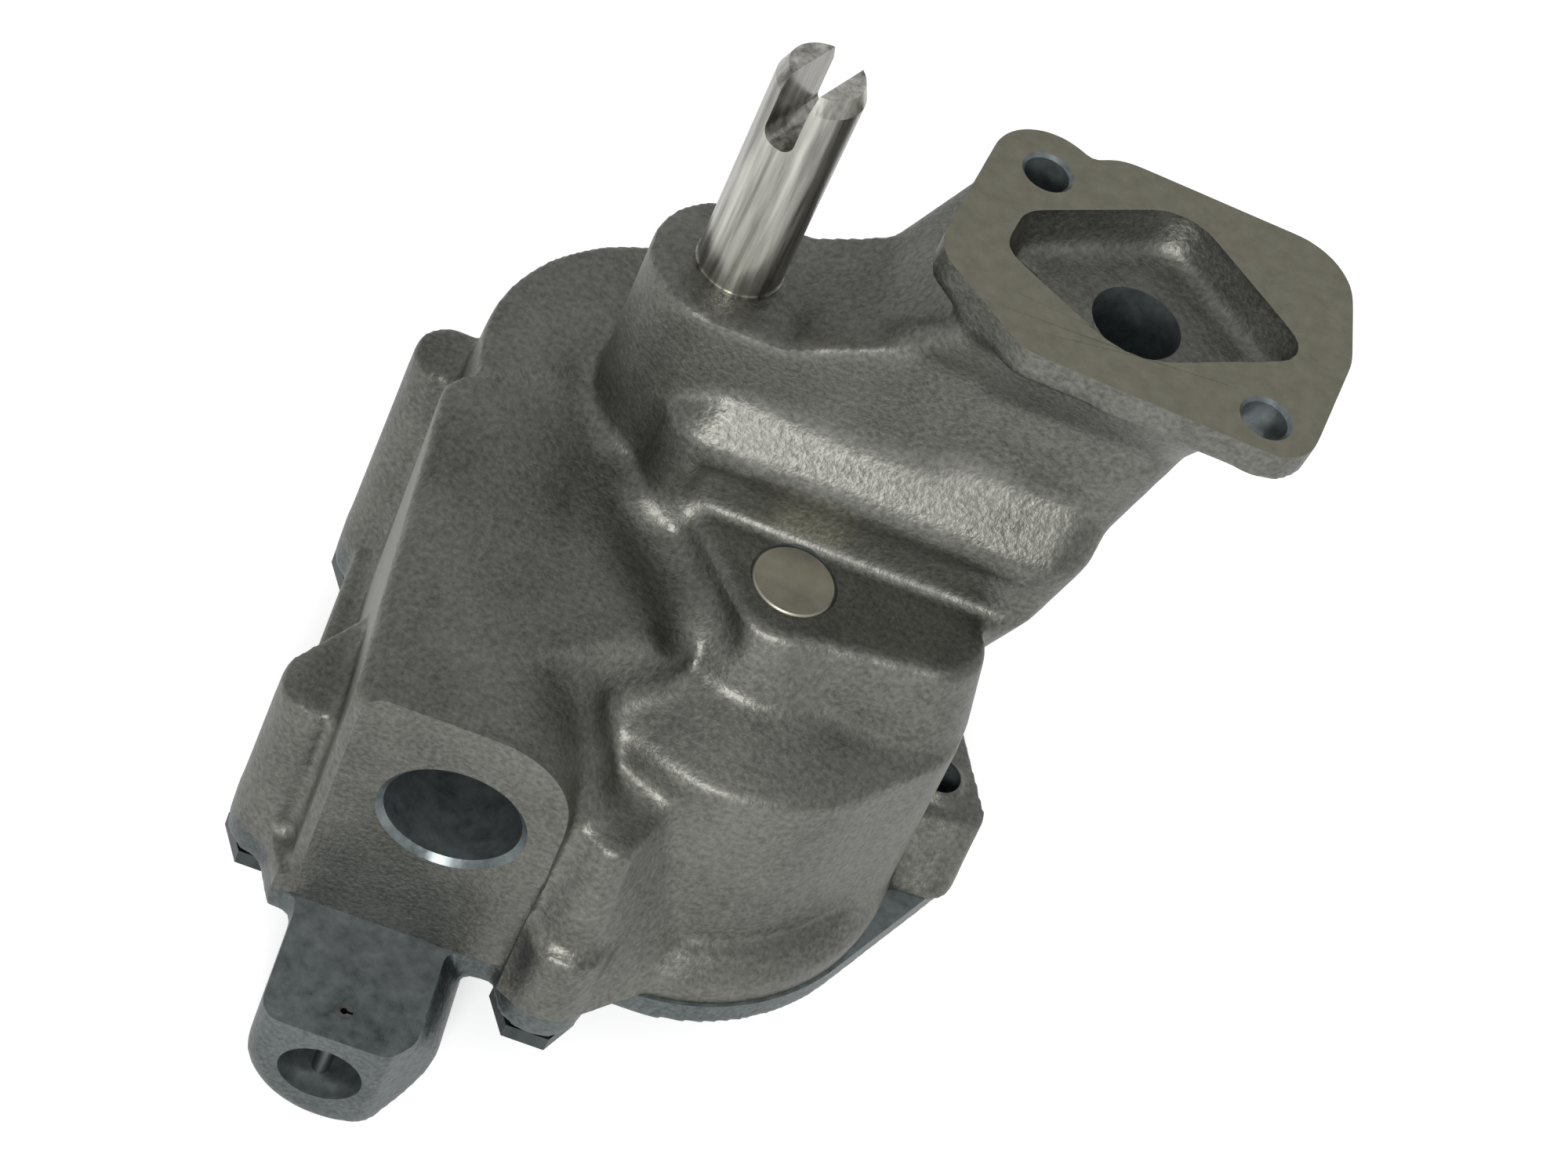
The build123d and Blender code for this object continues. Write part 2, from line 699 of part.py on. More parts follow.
# Relief spring, between the piston's cup and the roll pin
spring_start_y = pin_y + pin_r + spring_gap + spring_wire_r
cup_floor_y = relief_seat_y - piston_rest_gap - piston_length + piston_cup_depth
spring_length = cup_floor_y - spring_gap - spring_wire_r - spring_start_y
with BuildPart() as relief_spring:
    with BuildLine() as coil:
        Helix(
            pitch=spring_length / spring_turns,
            height=spring_length,
            radius=spring_r,
            center=(relief_x, spring_start_y, relief_z),
            direction=(0, 1, 0),
        )
    with BuildSketch(Plane(origin=coil.line @ 0, z_dir=coil.line % 0)):
        Circle(spring_wire_r)
    sweep(path=coil.line, is_frenet=True)

# Roll pin that holds the spring in
with BuildPart() as relief_roll_pin:
    with BuildSketch(Plane.XY.offset(joint_z - pin_recess)):
        with Locations((relief_x, pin_y)):
            Circle(pin_r)
            Circle(pin_bore_r, mode=Mode.SUBTRACT)
            Rectangle(pin_r, pin_slot, align=(Align.MIN, Align.CENTER), mode=Mode.SUBTRACT)
    extrude(amount=-(relief_axis_drop + relief_casting_r - pin_floor - pin_recess))

fixed_and_moving = {
    "pump_body": pump_body,
    "cover": cover,
    "drive_shaft": drive_shaft,
    "drive_gear": drive_gear,
    "idler_gear": idler_gear,
    "idler_shaft": idler_shaft,
    "relief_piston": relief_piston,
    "relief_spring": relief_spring,
    "relief_roll_pin": relief_roll_pin,
}
for name, piece in fixed_and_moving.items():
    piece.part.label = name
    export_step(piece.part, f"parts/{name}.step")

# Cover bolts and split lock washers, one set for each lug
for number, (lug_x, lug_y, lug_rise) in enumerate(lugs, start=1):
    with BuildPart() as cover_bolt:
        with BuildSketch(Plane.XY.offset(ear_seat_z - washer_thickness)):
            with Locations((lug_x, lug_y)):
                Circle(bolt_r)
        extrude(amount=bolt_length)
        with BuildSketch(Plane.XY.offset(ear_seat_z - washer_thickness)):
            with Locations((lug_x, lug_y)):
                RegularPolygon(bolt_head_flats / 2, 6, major_radius=False)
        extrude(amount=-bolt_head_height)
        chamfer(cover_bolt.faces().sort_by(Axis.Z)[0].edges(), bolt_head_chamfer)
    cover_bolt.part.label = f"cover_bolt_{number}"
    export_step(cover_bolt.part, f"parts/cover_bolt_{number}.step")

    with BuildPart() as lock_washer:
        with BuildSketch(Plane.XY.offset(ear_seat_z - washer_thickness)):
            with Locations((lug_x, lug_y)):
                Circle(washer_r)
                Circle(bolt_r + cover_hole_gap, mode=Mode.SUBTRACT)
                Rectangle(washer_r, washer_split, align=(Align.MIN, Align.CENTER), mode=Mode.SUBTRACT)
        extrude(amount=washer_thickness)
    lock_washer.part.label = f"lock_washer_{number}"
    export_step(lock_washer.part, f"parts/lock_washer_{number}.step")
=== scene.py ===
# Looks of an engine oil pump: a sand-cast iron body with milled and bored faces, a ground steel
# drive shaft, and a cover casting with its relief valve and five bolts.

import json
from math import radians

import bpy
from mathutils import Euler, Matrix, Vector


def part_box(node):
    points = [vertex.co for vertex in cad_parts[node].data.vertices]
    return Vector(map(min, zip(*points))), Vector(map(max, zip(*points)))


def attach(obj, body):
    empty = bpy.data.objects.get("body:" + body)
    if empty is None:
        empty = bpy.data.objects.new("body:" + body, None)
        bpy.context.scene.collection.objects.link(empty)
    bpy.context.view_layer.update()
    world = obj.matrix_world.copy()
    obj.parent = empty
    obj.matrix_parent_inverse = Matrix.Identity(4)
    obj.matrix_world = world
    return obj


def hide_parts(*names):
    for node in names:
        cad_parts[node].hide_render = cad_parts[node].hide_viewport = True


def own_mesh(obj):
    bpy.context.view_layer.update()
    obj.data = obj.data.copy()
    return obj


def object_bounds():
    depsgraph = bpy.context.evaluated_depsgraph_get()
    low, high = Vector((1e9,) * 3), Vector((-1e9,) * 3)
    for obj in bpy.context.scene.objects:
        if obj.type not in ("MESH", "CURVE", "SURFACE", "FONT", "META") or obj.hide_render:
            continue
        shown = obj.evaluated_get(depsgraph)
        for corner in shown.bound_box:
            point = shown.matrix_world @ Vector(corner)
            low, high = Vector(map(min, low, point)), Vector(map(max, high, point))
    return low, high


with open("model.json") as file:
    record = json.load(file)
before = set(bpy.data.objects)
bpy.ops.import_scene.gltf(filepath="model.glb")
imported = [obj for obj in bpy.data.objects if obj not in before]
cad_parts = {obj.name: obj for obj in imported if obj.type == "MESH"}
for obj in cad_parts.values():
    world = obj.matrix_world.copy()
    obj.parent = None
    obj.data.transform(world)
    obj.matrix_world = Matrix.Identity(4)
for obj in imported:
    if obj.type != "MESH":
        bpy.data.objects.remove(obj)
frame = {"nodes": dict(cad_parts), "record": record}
cad_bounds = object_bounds()

MM = 0.001
UP = Vector((0, 0, 1))
FRONT = Vector((0, -1, 0))
DOWN = Vector((0, 0, -1))
MOUNTS = {mount["name"]: mount for mount in frame["record"]["mounts"]}

# Camera
AIM = Vector((17.35, -47.63, -26.11)) * MM
CAMERA_DISTANCE = 391.2 * MM
AZIMUTH = radians(-10.2)
ELEVATION = radians(47.52)
ROLL = radians(28.1)
LENS_MM = 72
SENSOR_MM = 36
CAMERA_CLIP = 10 * MM

# Heights and places of the castings
JOINT_Z = -106 * MM
PAD_Y = -61.5 * MM
PAD_LEFT = -40 * MM
PAD_RIGHT = 4.9 * MM
PAD_TOP = -45 * MM
BOLT_SEAT_DROP = 38 * MM
POCKET_DEPTH = 6 * MM
BOSS_DROP = 22 * MM
COVER_THICKNESS = 5 * MM

# Relief valve's bore, its roll pin's hole and its passages
RELIEF_END_Y = -81.5 * MM
RELIEF_X = -14 * MM
RELIEF_Z = -115.4 * MM
RELIEF_BORE_R = 6 * MM
RELIEF_BORE_LENGTH = 45.5 * MM
PIN_SETBACK = 5 * MM
PIN_HOLE_R = 1.31 * MM
PIN_HOLE_DEPTH = 17.2 * MM
PASSAGE_R = 3 * MM
BYPASS_SETBACK = 6 * MM

# Chamber of the gears and the pools beside it
GEAR_OUTSIDE_R = 19.15 * MM
INLET_POOL = Vector((-4, -25, 0)) * MM
INLET_POOL_R = 9 * MM
INLET_POOL_TOP = -69.5 * MM
OUTLET_POOL = Vector((26, 0, 0)) * MM
OUTLET_POOL_R = 8 * MM
OUTLET_POOL_TOP = -75 * MM

# Holes and their chamfers
INLET_CHAMFER = 0.9 * MM
DOWEL_CHAMFER = 0.5 * MM
INLET_DEPTH = 27 * MM
DOWEL_DEPTH = 4 * MM
BOLT_NUMBERS = range(1, 6)
BOLT_CLEARANCE_R = 3.5 * MM
THREAD_R = 3.16 * MM
THREAD_DEPTH = 13 * MM
EAR_SEAT_R = 6 * MM
EAR_SEAT_DEPTH = 1 * MM
DISC_CLEARANCE = 0.4 * MM

# Web that fills the corner between the inlet chamber and the fairing over a lug
WEB_START = Vector((-4, -42, -61)) * MM
WEB_END = Vector((6, -55, -75)) * MM
WEB_R = 5 * MM

# Hollow along the foot of the raised roof, with its radii, and the foot of the mound above it
HOLLOW = [
    (Vector((-3.6, -18.8, -50.8)) * MM, 2.4 * MM),
    (Vector((3.4, -24.2, -50.4)) * MM, 5.8 * MM),
    (Vector((9.4, -32.2, -50.8)) * MM, 5.8 * MM),
    (Vector((14.4, -39.4, -54)) * MM, 5.8 * MM),
]
FOOT_LOW = Vector((4, -21, -50.5)) * MM
FOOT_HIGH = Vector((56, -16.6, -42)) * MM

# Places where the body is rounder, each with its reach and its rounds of smoothing
SOFT_SPOTS = [
    (Vector((28, -8, -34)) * MM, 22 * MM, 40),
    (Vector((5, -50, -68)) * MM, 18 * MM, 40),
    (Vector((-8, -8, -52)) * MM, 12 * MM, 60),
    (Vector((1, -20.5, -53)) * MM, 9 * MM, 60),
    (Vector((4, -31, -54)) * MM, 10 * MM, 60),
    (Vector((50.8, 0, -7)) * MM, 20 * MM, 14),
]

# Weight in the middle of a soft place before it is held at 1, so a third of the reach has it in full
SOFT_CORE = 1.5

# Skin of a casting
SKIN_VOXEL = 0.9 * MM
SKIN_ROUNDS = 4
SMOOTH_FACTOR = 0.5
MACHINING_STOCK = 2 * MM
PLUG_WALL = 0.6 * MM
OVERRUN = 4 * MM
ROD_SIDES = 64
CREASE_ANGLE = radians(40)
MERGE_DISTANCE = 0.002 * MM
PLANE_TOLERANCE = 0.02 * MM
PLANE_FACING = 0.999

# Widths of the grains, stains, marks and painted sheen streaks in the materials
CAST_GRAIN = 0.8 * MM
OIL_STAIN = 14 * MM
FEED_MARK = 2.5 * MM
STEEL_SHEEN_STREAK = 1.6 * MM

# Share of the stains in the colour of cast iron, and how slowly a painted sheen streak changes along
# its length
STAIN_SHARE = 0.45
SHEEN_STREAK_SQUEEZE = 0.06

# Values between which most of a noise pattern lies
NOISE_LOW = 0.3
NOISE_HIGH = 0.7

# Floor in metres, its glow and the share of the glow that metal mirrors, and the world's light
FLOOR_SIZE = 6
FLOOR_GLOW = 0.55
MIRROR_SHARE = 0.6
WORLD_LIGHT = 0.6
PAPER_HEX = "#e8e8e8"
WHITE_HEX = "#ffffff"

# Soft lamps: azimuth and elevation in degrees, distance and width in metres, power in watts
LAMPS = [
    ("key_lamp", -6, 30, 0.8, 0.22, 3.6),
    ("fill_lamp", 30, 70, 0.9, 0.5, 0.4),
]


def linear(hex_colour):
    """Turn an sRGB hex colour into the linear colour that a shader takes."""
    channels = [int(hex_colour[place : place + 2], 16) / 255 for place in (1, 3, 5)]
    return [c / 12.92 if c <= 0.04045 else ((c + 0.055) / 1.055) ** 2.4 for c in channels] + [1]


def scale_for(width):
    """Give a texture's scale for a pattern whose grains are that wide."""
    return 1 / width


def add_node(material, kind, settings=None, inputs=None):
    """Add a shader node, set its attributes, and set its inputs or link them to given sockets."""
    node = material.node_tree.nodes.new(kind)
    for name, value in (settings or {}).items():
        setattr(node, name, value)
    for name, value in (inputs or {}).items():
        if isinstance(value, bpy.types.NodeSocket):
            material.node_tree.links.new(value, node.inputs[name])
        else:
            node.inputs[name].default_value = value
    return node


def new_material(name):
    """Make an empty material with its output, and give both with its object coordinates."""
    material = bpy.data.materials.new(name)
    material.use_nodes = True
    material.node_tree.nodes.clear()
    output = add_node(material, "ShaderNodeOutputMaterial")
    place = add_node(material, "ShaderNodeTexCoord").outputs["Object"]
    return material, output, place


def finish_material(material, output, colour, roughness, bump, metallic=1.0):
    """Join a colour, a roughness and a bump in one metal shader."""
    shader = add_node(
        material,
        "ShaderNodeBsdfPrincipled",
        inputs={"Base Color": colour, "Roughness": roughness, "Normal": bump, "Metallic": metallic},
    )
    material.node_tree.links.new(shader.outputs["BSDF"], output.inputs["Surface"])
    return material


def blended(material, factor, dark_hex, light_hex, low=NOISE_LOW, high=NOISE_HIGH):
    """Give a colour that runs from dark to light as a factor goes from low to high."""
    ramp = add_node(material, "ShaderNodeValToRGB", inputs={"Fac": factor})
    ramp.color_ramp.elements[0].position = low
    ramp.color_ramp.elements[0].color = linear(dark_hex)
    ramp.color_ramp.elements[1].position = high
    ramp.color_ramp.elements[1].color = linear(light_hex)
    return ramp.outputs["Color"]


def spread(material, factor, low, high):
    """Give a number that runs from low to high over the values of a noise pattern."""
    return add_node(
        material,
        "ShaderNodeMapRange",
        inputs={
            "Value": factor,
            "From Min": NOISE_LOW,
            "From Max": NOISE_HIGH,
            "To Min": low,
            "To Max": high,
        },
    ).outputs["Result"]


def sand_cast_iron(name, dark_hex, light_hex, roughness_low, roughness_high):
    """Grey iron as it comes out of a sand mould: a grain of 0.8 mm that glints softly, with stains."""
    material, output, place = new_material(name)
    grain = add_node(
        material,
        "ShaderNodeTexNoise",
        inputs={"Vector": place, "Scale": scale_for(CAST_GRAIN), "Detail": 2, "Roughness": 0.6},
    ).outputs["Fac"]
    stains = add_node(
        material,
        "ShaderNodeTexNoise",
        inputs={"Vector": place, "Scale": scale_for(OIL_STAIN), "Detail": 4, "Roughness": 0.6},
    ).outputs["Fac"]
    mixed = add_node(
        material, "ShaderNodeMix", inputs={"Factor": STAIN_SHARE, "A": grain, "B": stains}
    ).outputs["Result"]
    bump = add_node(
        material,
        "ShaderNodeBump",
        inputs={"Height": grain, "Strength": 0.5, "Distance": 0.2 * MM},
    ).outputs["Normal"]
    colour = blended(material, mixed, dark_hex, light_hex, low=0.35, high=0.65)
    roughness = spread(material, stains, roughness_low, roughness_high)
    return finish_material(material, output, colour, roughness, bump)


def machined_metal(name, dark_hex, light_hex, roughness_low, roughness_high, metallic=1.0):
    """Iron or steel after a cutter has passed: smoother, with faint marks and a thin oil film.

    Real feed marks are too fine to show here, so the marks are drawn coarser.
    """
    material, output, place = new_material(name)
    marks = add_node(
        material,
        "ShaderNodeTexNoise",
        inputs={"Vector": place, "Scale": scale_for(FEED_MARK), "Detail": 5, "Roughness": 0.65},
    ).outputs["Fac"]
    bump = add_node(
        material,
        "ShaderNodeBump",
        inputs={"Height": marks, "Strength": 0.2, "Distance": 0.05 * MM},
    ).outputs["Normal"]
    colour = blended(material, marks, dark_hex, light_hex)
    roughness = spread(material, marks, roughness_low, roughness_high)
    return finish_material(material, output, colour, roughness, bump, metallic)


def turned_steel(name, dark_hex, light_hex, roughness_low, roughness_high):
    """Steel, ground, cut or drawn, bright or blackened: streaks that run up and down, painted sheen in
    its colour.

    The streaks stand in for the reflection lines that run along a bright bar, not for its grinding
    marks, and they also give a faint bump.
    """
    material, output, place = new_material(name)
    stretched = add_node(
        material,
        "ShaderNodeMapping",
        inputs={"Vector": place, "Scale": (1, 1, SHEEN_STREAK_SQUEEZE)},
    ).outputs["Vector"]
    sheen_streaks = add_node(
        material,
        "ShaderNodeTexNoise",
        inputs={
            "Vector": stretched,
            "Scale": scale_for(STEEL_SHEEN_STREAK),
            "Detail": 3,
            "Roughness": 0.6,
        },
    ).outputs["Fac"]
    bump = add_node(
        material,
        "ShaderNodeBump",
        inputs={"Height": sheen_streaks, "Strength": 0.15, "Distance": 0.04 * MM},
    ).outputs["Normal"]
    # Painted sheen: the streaks lighten and darken the colour along the axis like reflection lines
    colour = blended(material, sheen_streaks, dark_hex, light_hex)
    roughness = spread(material, sheen_streaks, roughness_low, roughness_high)
    return finish_material(material, output, colour, roughness, bump)


BODY_IRON = sand_cast_iron("grey_iron_sand_cast", "#5c5c57", "#83837d", 0.4, 0.52)
COVER_IRON = sand_cast_iron("grey_iron_sand_cast_oiled", "#4a5050", "#727978", 0.36, 0.48)
MILLED_IRON = machined_metal("grey_iron_milled", "#7f7d6e", "#918f80", 0.5, 0.62)
BORED_IRON = machined_metal("grey_iron_bored", "#565d5f", "#7c8485", 0.26, 0.38, metallic=0.6)
# The ground shaft's streaks run from dark to bright, as painted reflection lines
SHAFT_STEEL = turned_steel("steel_ground", "#6b6a65", "#cfcec6", 0.2, 0.36)
GEAR_STEEL = turned_steel("steel_hobbed", "#8a8a88", "#a0a09e", 0.3, 0.42)
DISC_STEEL = machined_metal("steel_faced_end", "#a8a597", "#bab7a8", 0.38, 0.5)
BOLT_STEEL = turned_steel("steel_black_oxide", "#3d4243", "#52595a", 0.35, 0.5)
SPRING_STEEL = turned_steel("steel_spring_wire", "#7c7c7c", "#929292", 0.28, 0.4)


def deselect_all():
    """Leave nothing selected, so that an operator acts on its own piece alone."""
    for thing in bpy.context.selected_objects:
        thing.select_set(False)


def make_active(piece):
    """Select one object alone and make it the one that operators work on."""
    deselect_all()
    piece.select_set(True)
    bpy.context.view_layer.objects.active = piece


def apply_modifier(piece, kind, settings):
    """Add a modifier to a piece, set it and apply it."""
    modifier = piece.modifiers.new(kind.lower(), kind)
    for name, value in settings.items():
        setattr(modifier, name, value)
    make_active(piece)
    bpy.ops.object.modifier_apply(modifier=modifier.name)


def named_primitive(name, material):
    """Name the primitive just added, put its place in its mesh, and give it a finish if it has one."""
    piece = bpy.context.object
    piece.name = name
    bpy.ops.object.transform_apply(location=True, rotation=True, scale=True)
    if material:
        piece.data.materials.append(material)
    return piece


def rod(name, start, end, radius, end_radius=None, material=None):
    """Add a closed round bar between two points, tapered if it has a second radius."""
    deselect_all()
    axis = end - start
    bpy.ops.mesh.primitive_cone_add(
        vertices=ROD_SIDES,
        radius1=radius,
        radius2=radius if end_radius is None else end_radius,
        depth=axis.length,
        location=(start + end) / 2,
        rotation=axis.to_track_quat("Z", "Y").to_euler(),
    )
    return named_primitive(name, material)


def block(name, low, high, material=None):
    """Add a closed box between its lowest and highest corners."""
    deselect_all()
    bpy.ops.mesh.primitive_cube_add(size=1, location=(low + high) / 2)
    bpy.context.object.scale = high - low
    return named_primitive(name, material)


def join_all(pieces):
    """Join several objects into the first one."""
    deselect_all()
    for piece in pieces:
        piece.select_set(True)
    bpy.context.view_layer.objects.active = pieces[0]
    bpy.ops.object.join()
    return pieces[0]


def copy_of_node(node, name):
    """Copy a CAD node's mesh into a new object, merge its loose triangles, and drop its materials."""
    source = frame["nodes"][node]
    piece = bpy.data.objects.new(name, source.data.copy())
    bpy.context.scene.collection.objects.link(piece)
    piece.data.materials.clear()
    make_active(piece)
    bpy.ops.object.mode_set(mode="EDIT")
    bpy.ops.mesh.select_all(action="SELECT")
    bpy.ops.mesh.remove_doubles(threshold=MERGE_DISTANCE)
    bpy.ops.object.mode_set(mode="OBJECT")
    return piece


def shade_smooth(piece):
    """Shade a piece smoothly, except across its sharp edges."""
    make_active(piece)
    bpy.ops.object.shade_smooth_by_angle(angle=CREASE_ANGLE)


def select_faces_on(piece, point, normal):
    """Select the faces that lie on a plane and look along its normal."""
    make_active(piece)
    bpy.ops.object.mode_set(mode="EDIT")
    bpy.ops.mesh.select_mode(type="FACE")
    bpy.ops.mesh.select_all(action="DESELECT")
    bpy.ops.object.mode_set(mode="OBJECT")
    for face in piece.data.polygons:
        on_plane = abs((face.center - point).dot(normal)) < PLANE_TOLERANCE
        face.select = on_plane and face.normal.dot(normal) > PLANE_FACING


def add_stock(piece, point, normal):
    """Thicken a casting outwards at a face that will be machined."""
    select_faces_on(piece, point, normal)
    bpy.ops.object.mode_set(mode="EDIT")
    bpy.ops.mesh.extrude_region_move(
        TRANSFORM_OT_translate={"value": normal * MACHINING_STOCK, "orient_type": "GLOBAL"}
    )
    bpy.ops.object.mode_set(mode="OBJECT")


def mill(piece, point, normal, slot):
    """Cut a casting flat at a plane, close the cut and give it the machined finish."""
    make_active(piece)
    bpy.ops.object.mode_set(mode="EDIT")
    bpy.ops.mesh.select_all(action="SELECT")
    bpy.ops.mesh.bisect(plane_co=point, plane_no=normal, use_fill=True, clear_outer=True)
    bpy.ops.object.mode_set(mode="OBJECT")
    select_faces_on(piece, point, normal)
    for face in piece.data.polygons:
        if face.select:
            face.material_index = slot


def cut_away(piece, cutters):
    """Cut a group of closed shapes out of a piece, which takes their finish in the cuts."""
    if not cutters:
        return
    tray = bpy.data.collections.new("cutters")
    bpy.context.scene.collection.children.link(tray)
    for cutter in cutters:
        tray.objects.link(cutter)
    apply_modifier(
        piece,
        "BOOLEAN",
        {
            "operation": "DIFFERENCE",
            "operand_type": "COLLECTION",
            "collection": tray,
            "solver": "EXACT",
            "material_mode": "TRANSFER",
        },
    )
    for cutter in cutters:
        bpy.data.objects.remove(cutter)
    bpy.data.collections.remove(tray)


def soften(piece, centre, reach, rounds):
    """Smooth a casting further around a point, fading out towards the end of its reach."""
    group = piece.vertex_groups.new(name="soft")
    for vertex in piece.data.vertices:
        weight = SOFT_CORE * (1 - (vertex.co - centre).length / reach)
        if weight > 0:
            group.add([vertex.index], min(weight, 1), "REPLACE")
    apply_modifier(
        piece,
        "SMOOTH",
        {"factor": SMOOTH_FACTOR, "iterations": rounds, "vertex_group": "soft"},
    )
    piece.vertex_groups.clear()


def casting(node, name, skin, stock, hollows, planes, plugs, soft_spots, cutters):
    """Remake a CAD casting with the soft edges of a sand mould and sharp machined faces.

    The faces in stock are thickened, the hollows cut and the bores plugged before the skin is
    remade. Then the planes are milled, and the cutters open the bores again.
    """
    piece = copy_of_node(node, name)
    for point, normal in stock:
        add_stock(piece, point, normal)
    cut_away(piece, hollows)
    piece = join_all([piece] + plugs)
    apply_modifier(piece, "REMESH", {"mode": "VOXEL", "voxel_size": SKIN_VOXEL})
    apply_modifier(piece, "SMOOTH", {"factor": SMOOTH_FACTOR, "iterations": SKIN_ROUNDS})
    for centre, reach, rounds in soft_spots:
        soften(piece, centre, reach, rounds)
    piece.data.materials.clear()
    piece.data.materials.append(skin)
    for point, normal, finish in planes:
        piece.data.materials.append(finish)
        mill(piece, point, normal, len(piece.data.materials) - 1)
    cut_away(piece, cutters)
    shade_smooth(piece)
    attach(piece, "root")
    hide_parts(node)
    return piece


def middle_of(node):
    """Give the x and y of a node's middle, level with the mounting face."""
    low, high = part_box(node)
    return Vector(((low.x + high.x) / 2, (low.y + high.y) / 2, 0))


DRIVE_AXIS = middle_of("drive_gear")
IDLER_AXIS = middle_of("idler_shaft")
SHAFT_R = (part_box("idler_shaft")[1].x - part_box("idler_shaft")[0].x) / 2
IDLER_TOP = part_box("idler_shaft")[1].z
GEAR_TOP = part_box("drive_gear")[1].z
LUGS = [middle_of(f"cover_bolt_{number}") for number in BOLT_NUMBERS]
INLET = Vector(MOUNTS["pickup_inlet"]["pos_m"])
DOWEL_LEFT = Vector(MOUNTS["dowel_left"]["pos_m"])
DOWEL_RIGHT = Vector(MOUNTS["dowel_right"]["pos_m"])
BOLT_SEAT = Vector(MOUNTS["mounting_bolt"]["pos_m"])
BOLT_R = MOUNTS["mounting_bolt"]["dims"]["r_mm"] * MM


def at(place, z):
    """Give the point at a height above or below a place on the mounting face's plane."""
    return Vector((place.x, place.y, z))


def bore(start, end, radius, extra):
    """Add the closed shape of a bore between two points, wider by extra."""
    return rod("bore", start, end, radius + extra, material=BORED_IRON)


def mount_bore(mount, inward, outward, extra):
    """Add the closed shape of a bore mount, from a depth inside its place to a height outside it."""
    place = Vector(MOUNTS[mount]["pos_m"])
    axis = Vector(MOUNTS[mount]["axis"])
    radius = MOUNTS[mount]["dims"]["r_mm"] * MM
    return bore(place - axis * inward, place + axis * outward, radius, extra)


def upright_bores(rows, extra):
    """Add the closed shape of an upright bore for each row of a place, two heights and a radius."""
    return [bore(at(place, low), at(place, high), radius, extra) for place, low, high, radius in rows]


def countersink(mount, mouth, size):
    """Add a cone that chamfers the mouth of a bore mount by a size."""
    axis = Vector(MOUNTS[mount]["axis"])
    radius = MOUNTS[mount]["dims"]["r_mm"] * MM
    return rod(
        "chamfer",
        mouth - axis * size,
        mouth + axis * size,
        radius,
        radius + 2 * size,
        material=BORED_IRON,
    )


def body_bores(extra, overrun):
    """Give the closed shapes of the body's bores, wider by extra and longer by an overrun.

    The idler shaft's bore runs over by the disc's clearance at most, and so spares the mound.
    """
    below = JOINT_Z - MACHINING_STOCK - overrun
    inlet_front = INLET.y - PAD_Y + MACHINING_STOCK + overrun
    dowel_top = MACHINING_STOCK + overrun - DOWEL_LEFT.z
    rows = [
        (DRIVE_AXIS, below, GEAR_TOP + extra, GEAR_OUTSIDE_R),
        (IDLER_AXIS, below, GEAR_TOP + extra, GEAR_OUTSIDE_R),
        (INLET_POOL, below, INLET_POOL_TOP, INLET_POOL_R),
        (OUTLET_POOL, below, OUTLET_POOL_TOP, OUTLET_POOL_R),
        (BOLT_SEAT, -BOLT_SEAT_DROP - overrun, overrun - POCKET_DEPTH, BOLT_R),
        (IDLER_AXIS, GEAR_TOP - OVERRUN, IDLER_TOP + min(overrun, DISC_CLEARANCE), SHAFT_R),
        (DRIVE_AXIS, GEAR_TOP - OVERRUN, overrun - BOSS_DROP, SHAFT_R),
    ]
    rows += [(lug, below, JOINT_Z + THREAD_DEPTH, THREAD_R) for lug in LUGS]
    return upright_bores(rows, extra) + [
        mount_bore("pickup_inlet", INLET_DEPTH, inlet_front, extra),
        mount_bore("dowel_left", DOWEL_DEPTH, dowel_top, extra),
        mount_bore("dowel_right", DOWEL_DEPTH, dowel_top, extra),
    ]


def cover_bores(extra, overrun):
    """Give the closed shapes of the cover's bores, wider by extra and longer by an overrun.

    The seats of the washers are closed at their own radius.
    """
    above = JOINT_Z + MACHINING_STOCK + overrun
    outside = JOINT_Z - COVER_THICKNESS
    mouth = Vector((RELIEF_X, RELIEF_END_Y - overrun, RELIEF_Z))
    seat = Vector((RELIEF_X, RELIEF_END_Y + RELIEF_BORE_LENGTH, RELIEF_Z))
    bypass = seat - Vector((0, BYPASS_SETBACK, 0))
    pin = Vector((RELIEF_X, RELIEF_END_Y + PIN_SETBACK, 0))
    rows = [
        (OUTLET_POOL, RELIEF_Z - PASSAGE_R, above, PASSAGE_R),
        (bypass, RELIEF_Z, above, PASSAGE_R),
        (pin, JOINT_Z - PIN_HOLE_DEPTH, above, PIN_HOLE_R),
    ]
    for lug in LUGS:
        rows.append((lug, outside - overrun, above, BOLT_CLEARANCE_R))
        rows.append((lug, outside - overrun, outside + EAR_SEAT_DEPTH, EAR_SEAT_R - extra))
    return upright_bores(rows, extra) + [
        bore(mouth, seat, RELIEF_BORE_R, extra),
        bore(seat, at(OUTLET_POOL, RELIEF_Z), PASSAGE_R, extra),
    ]


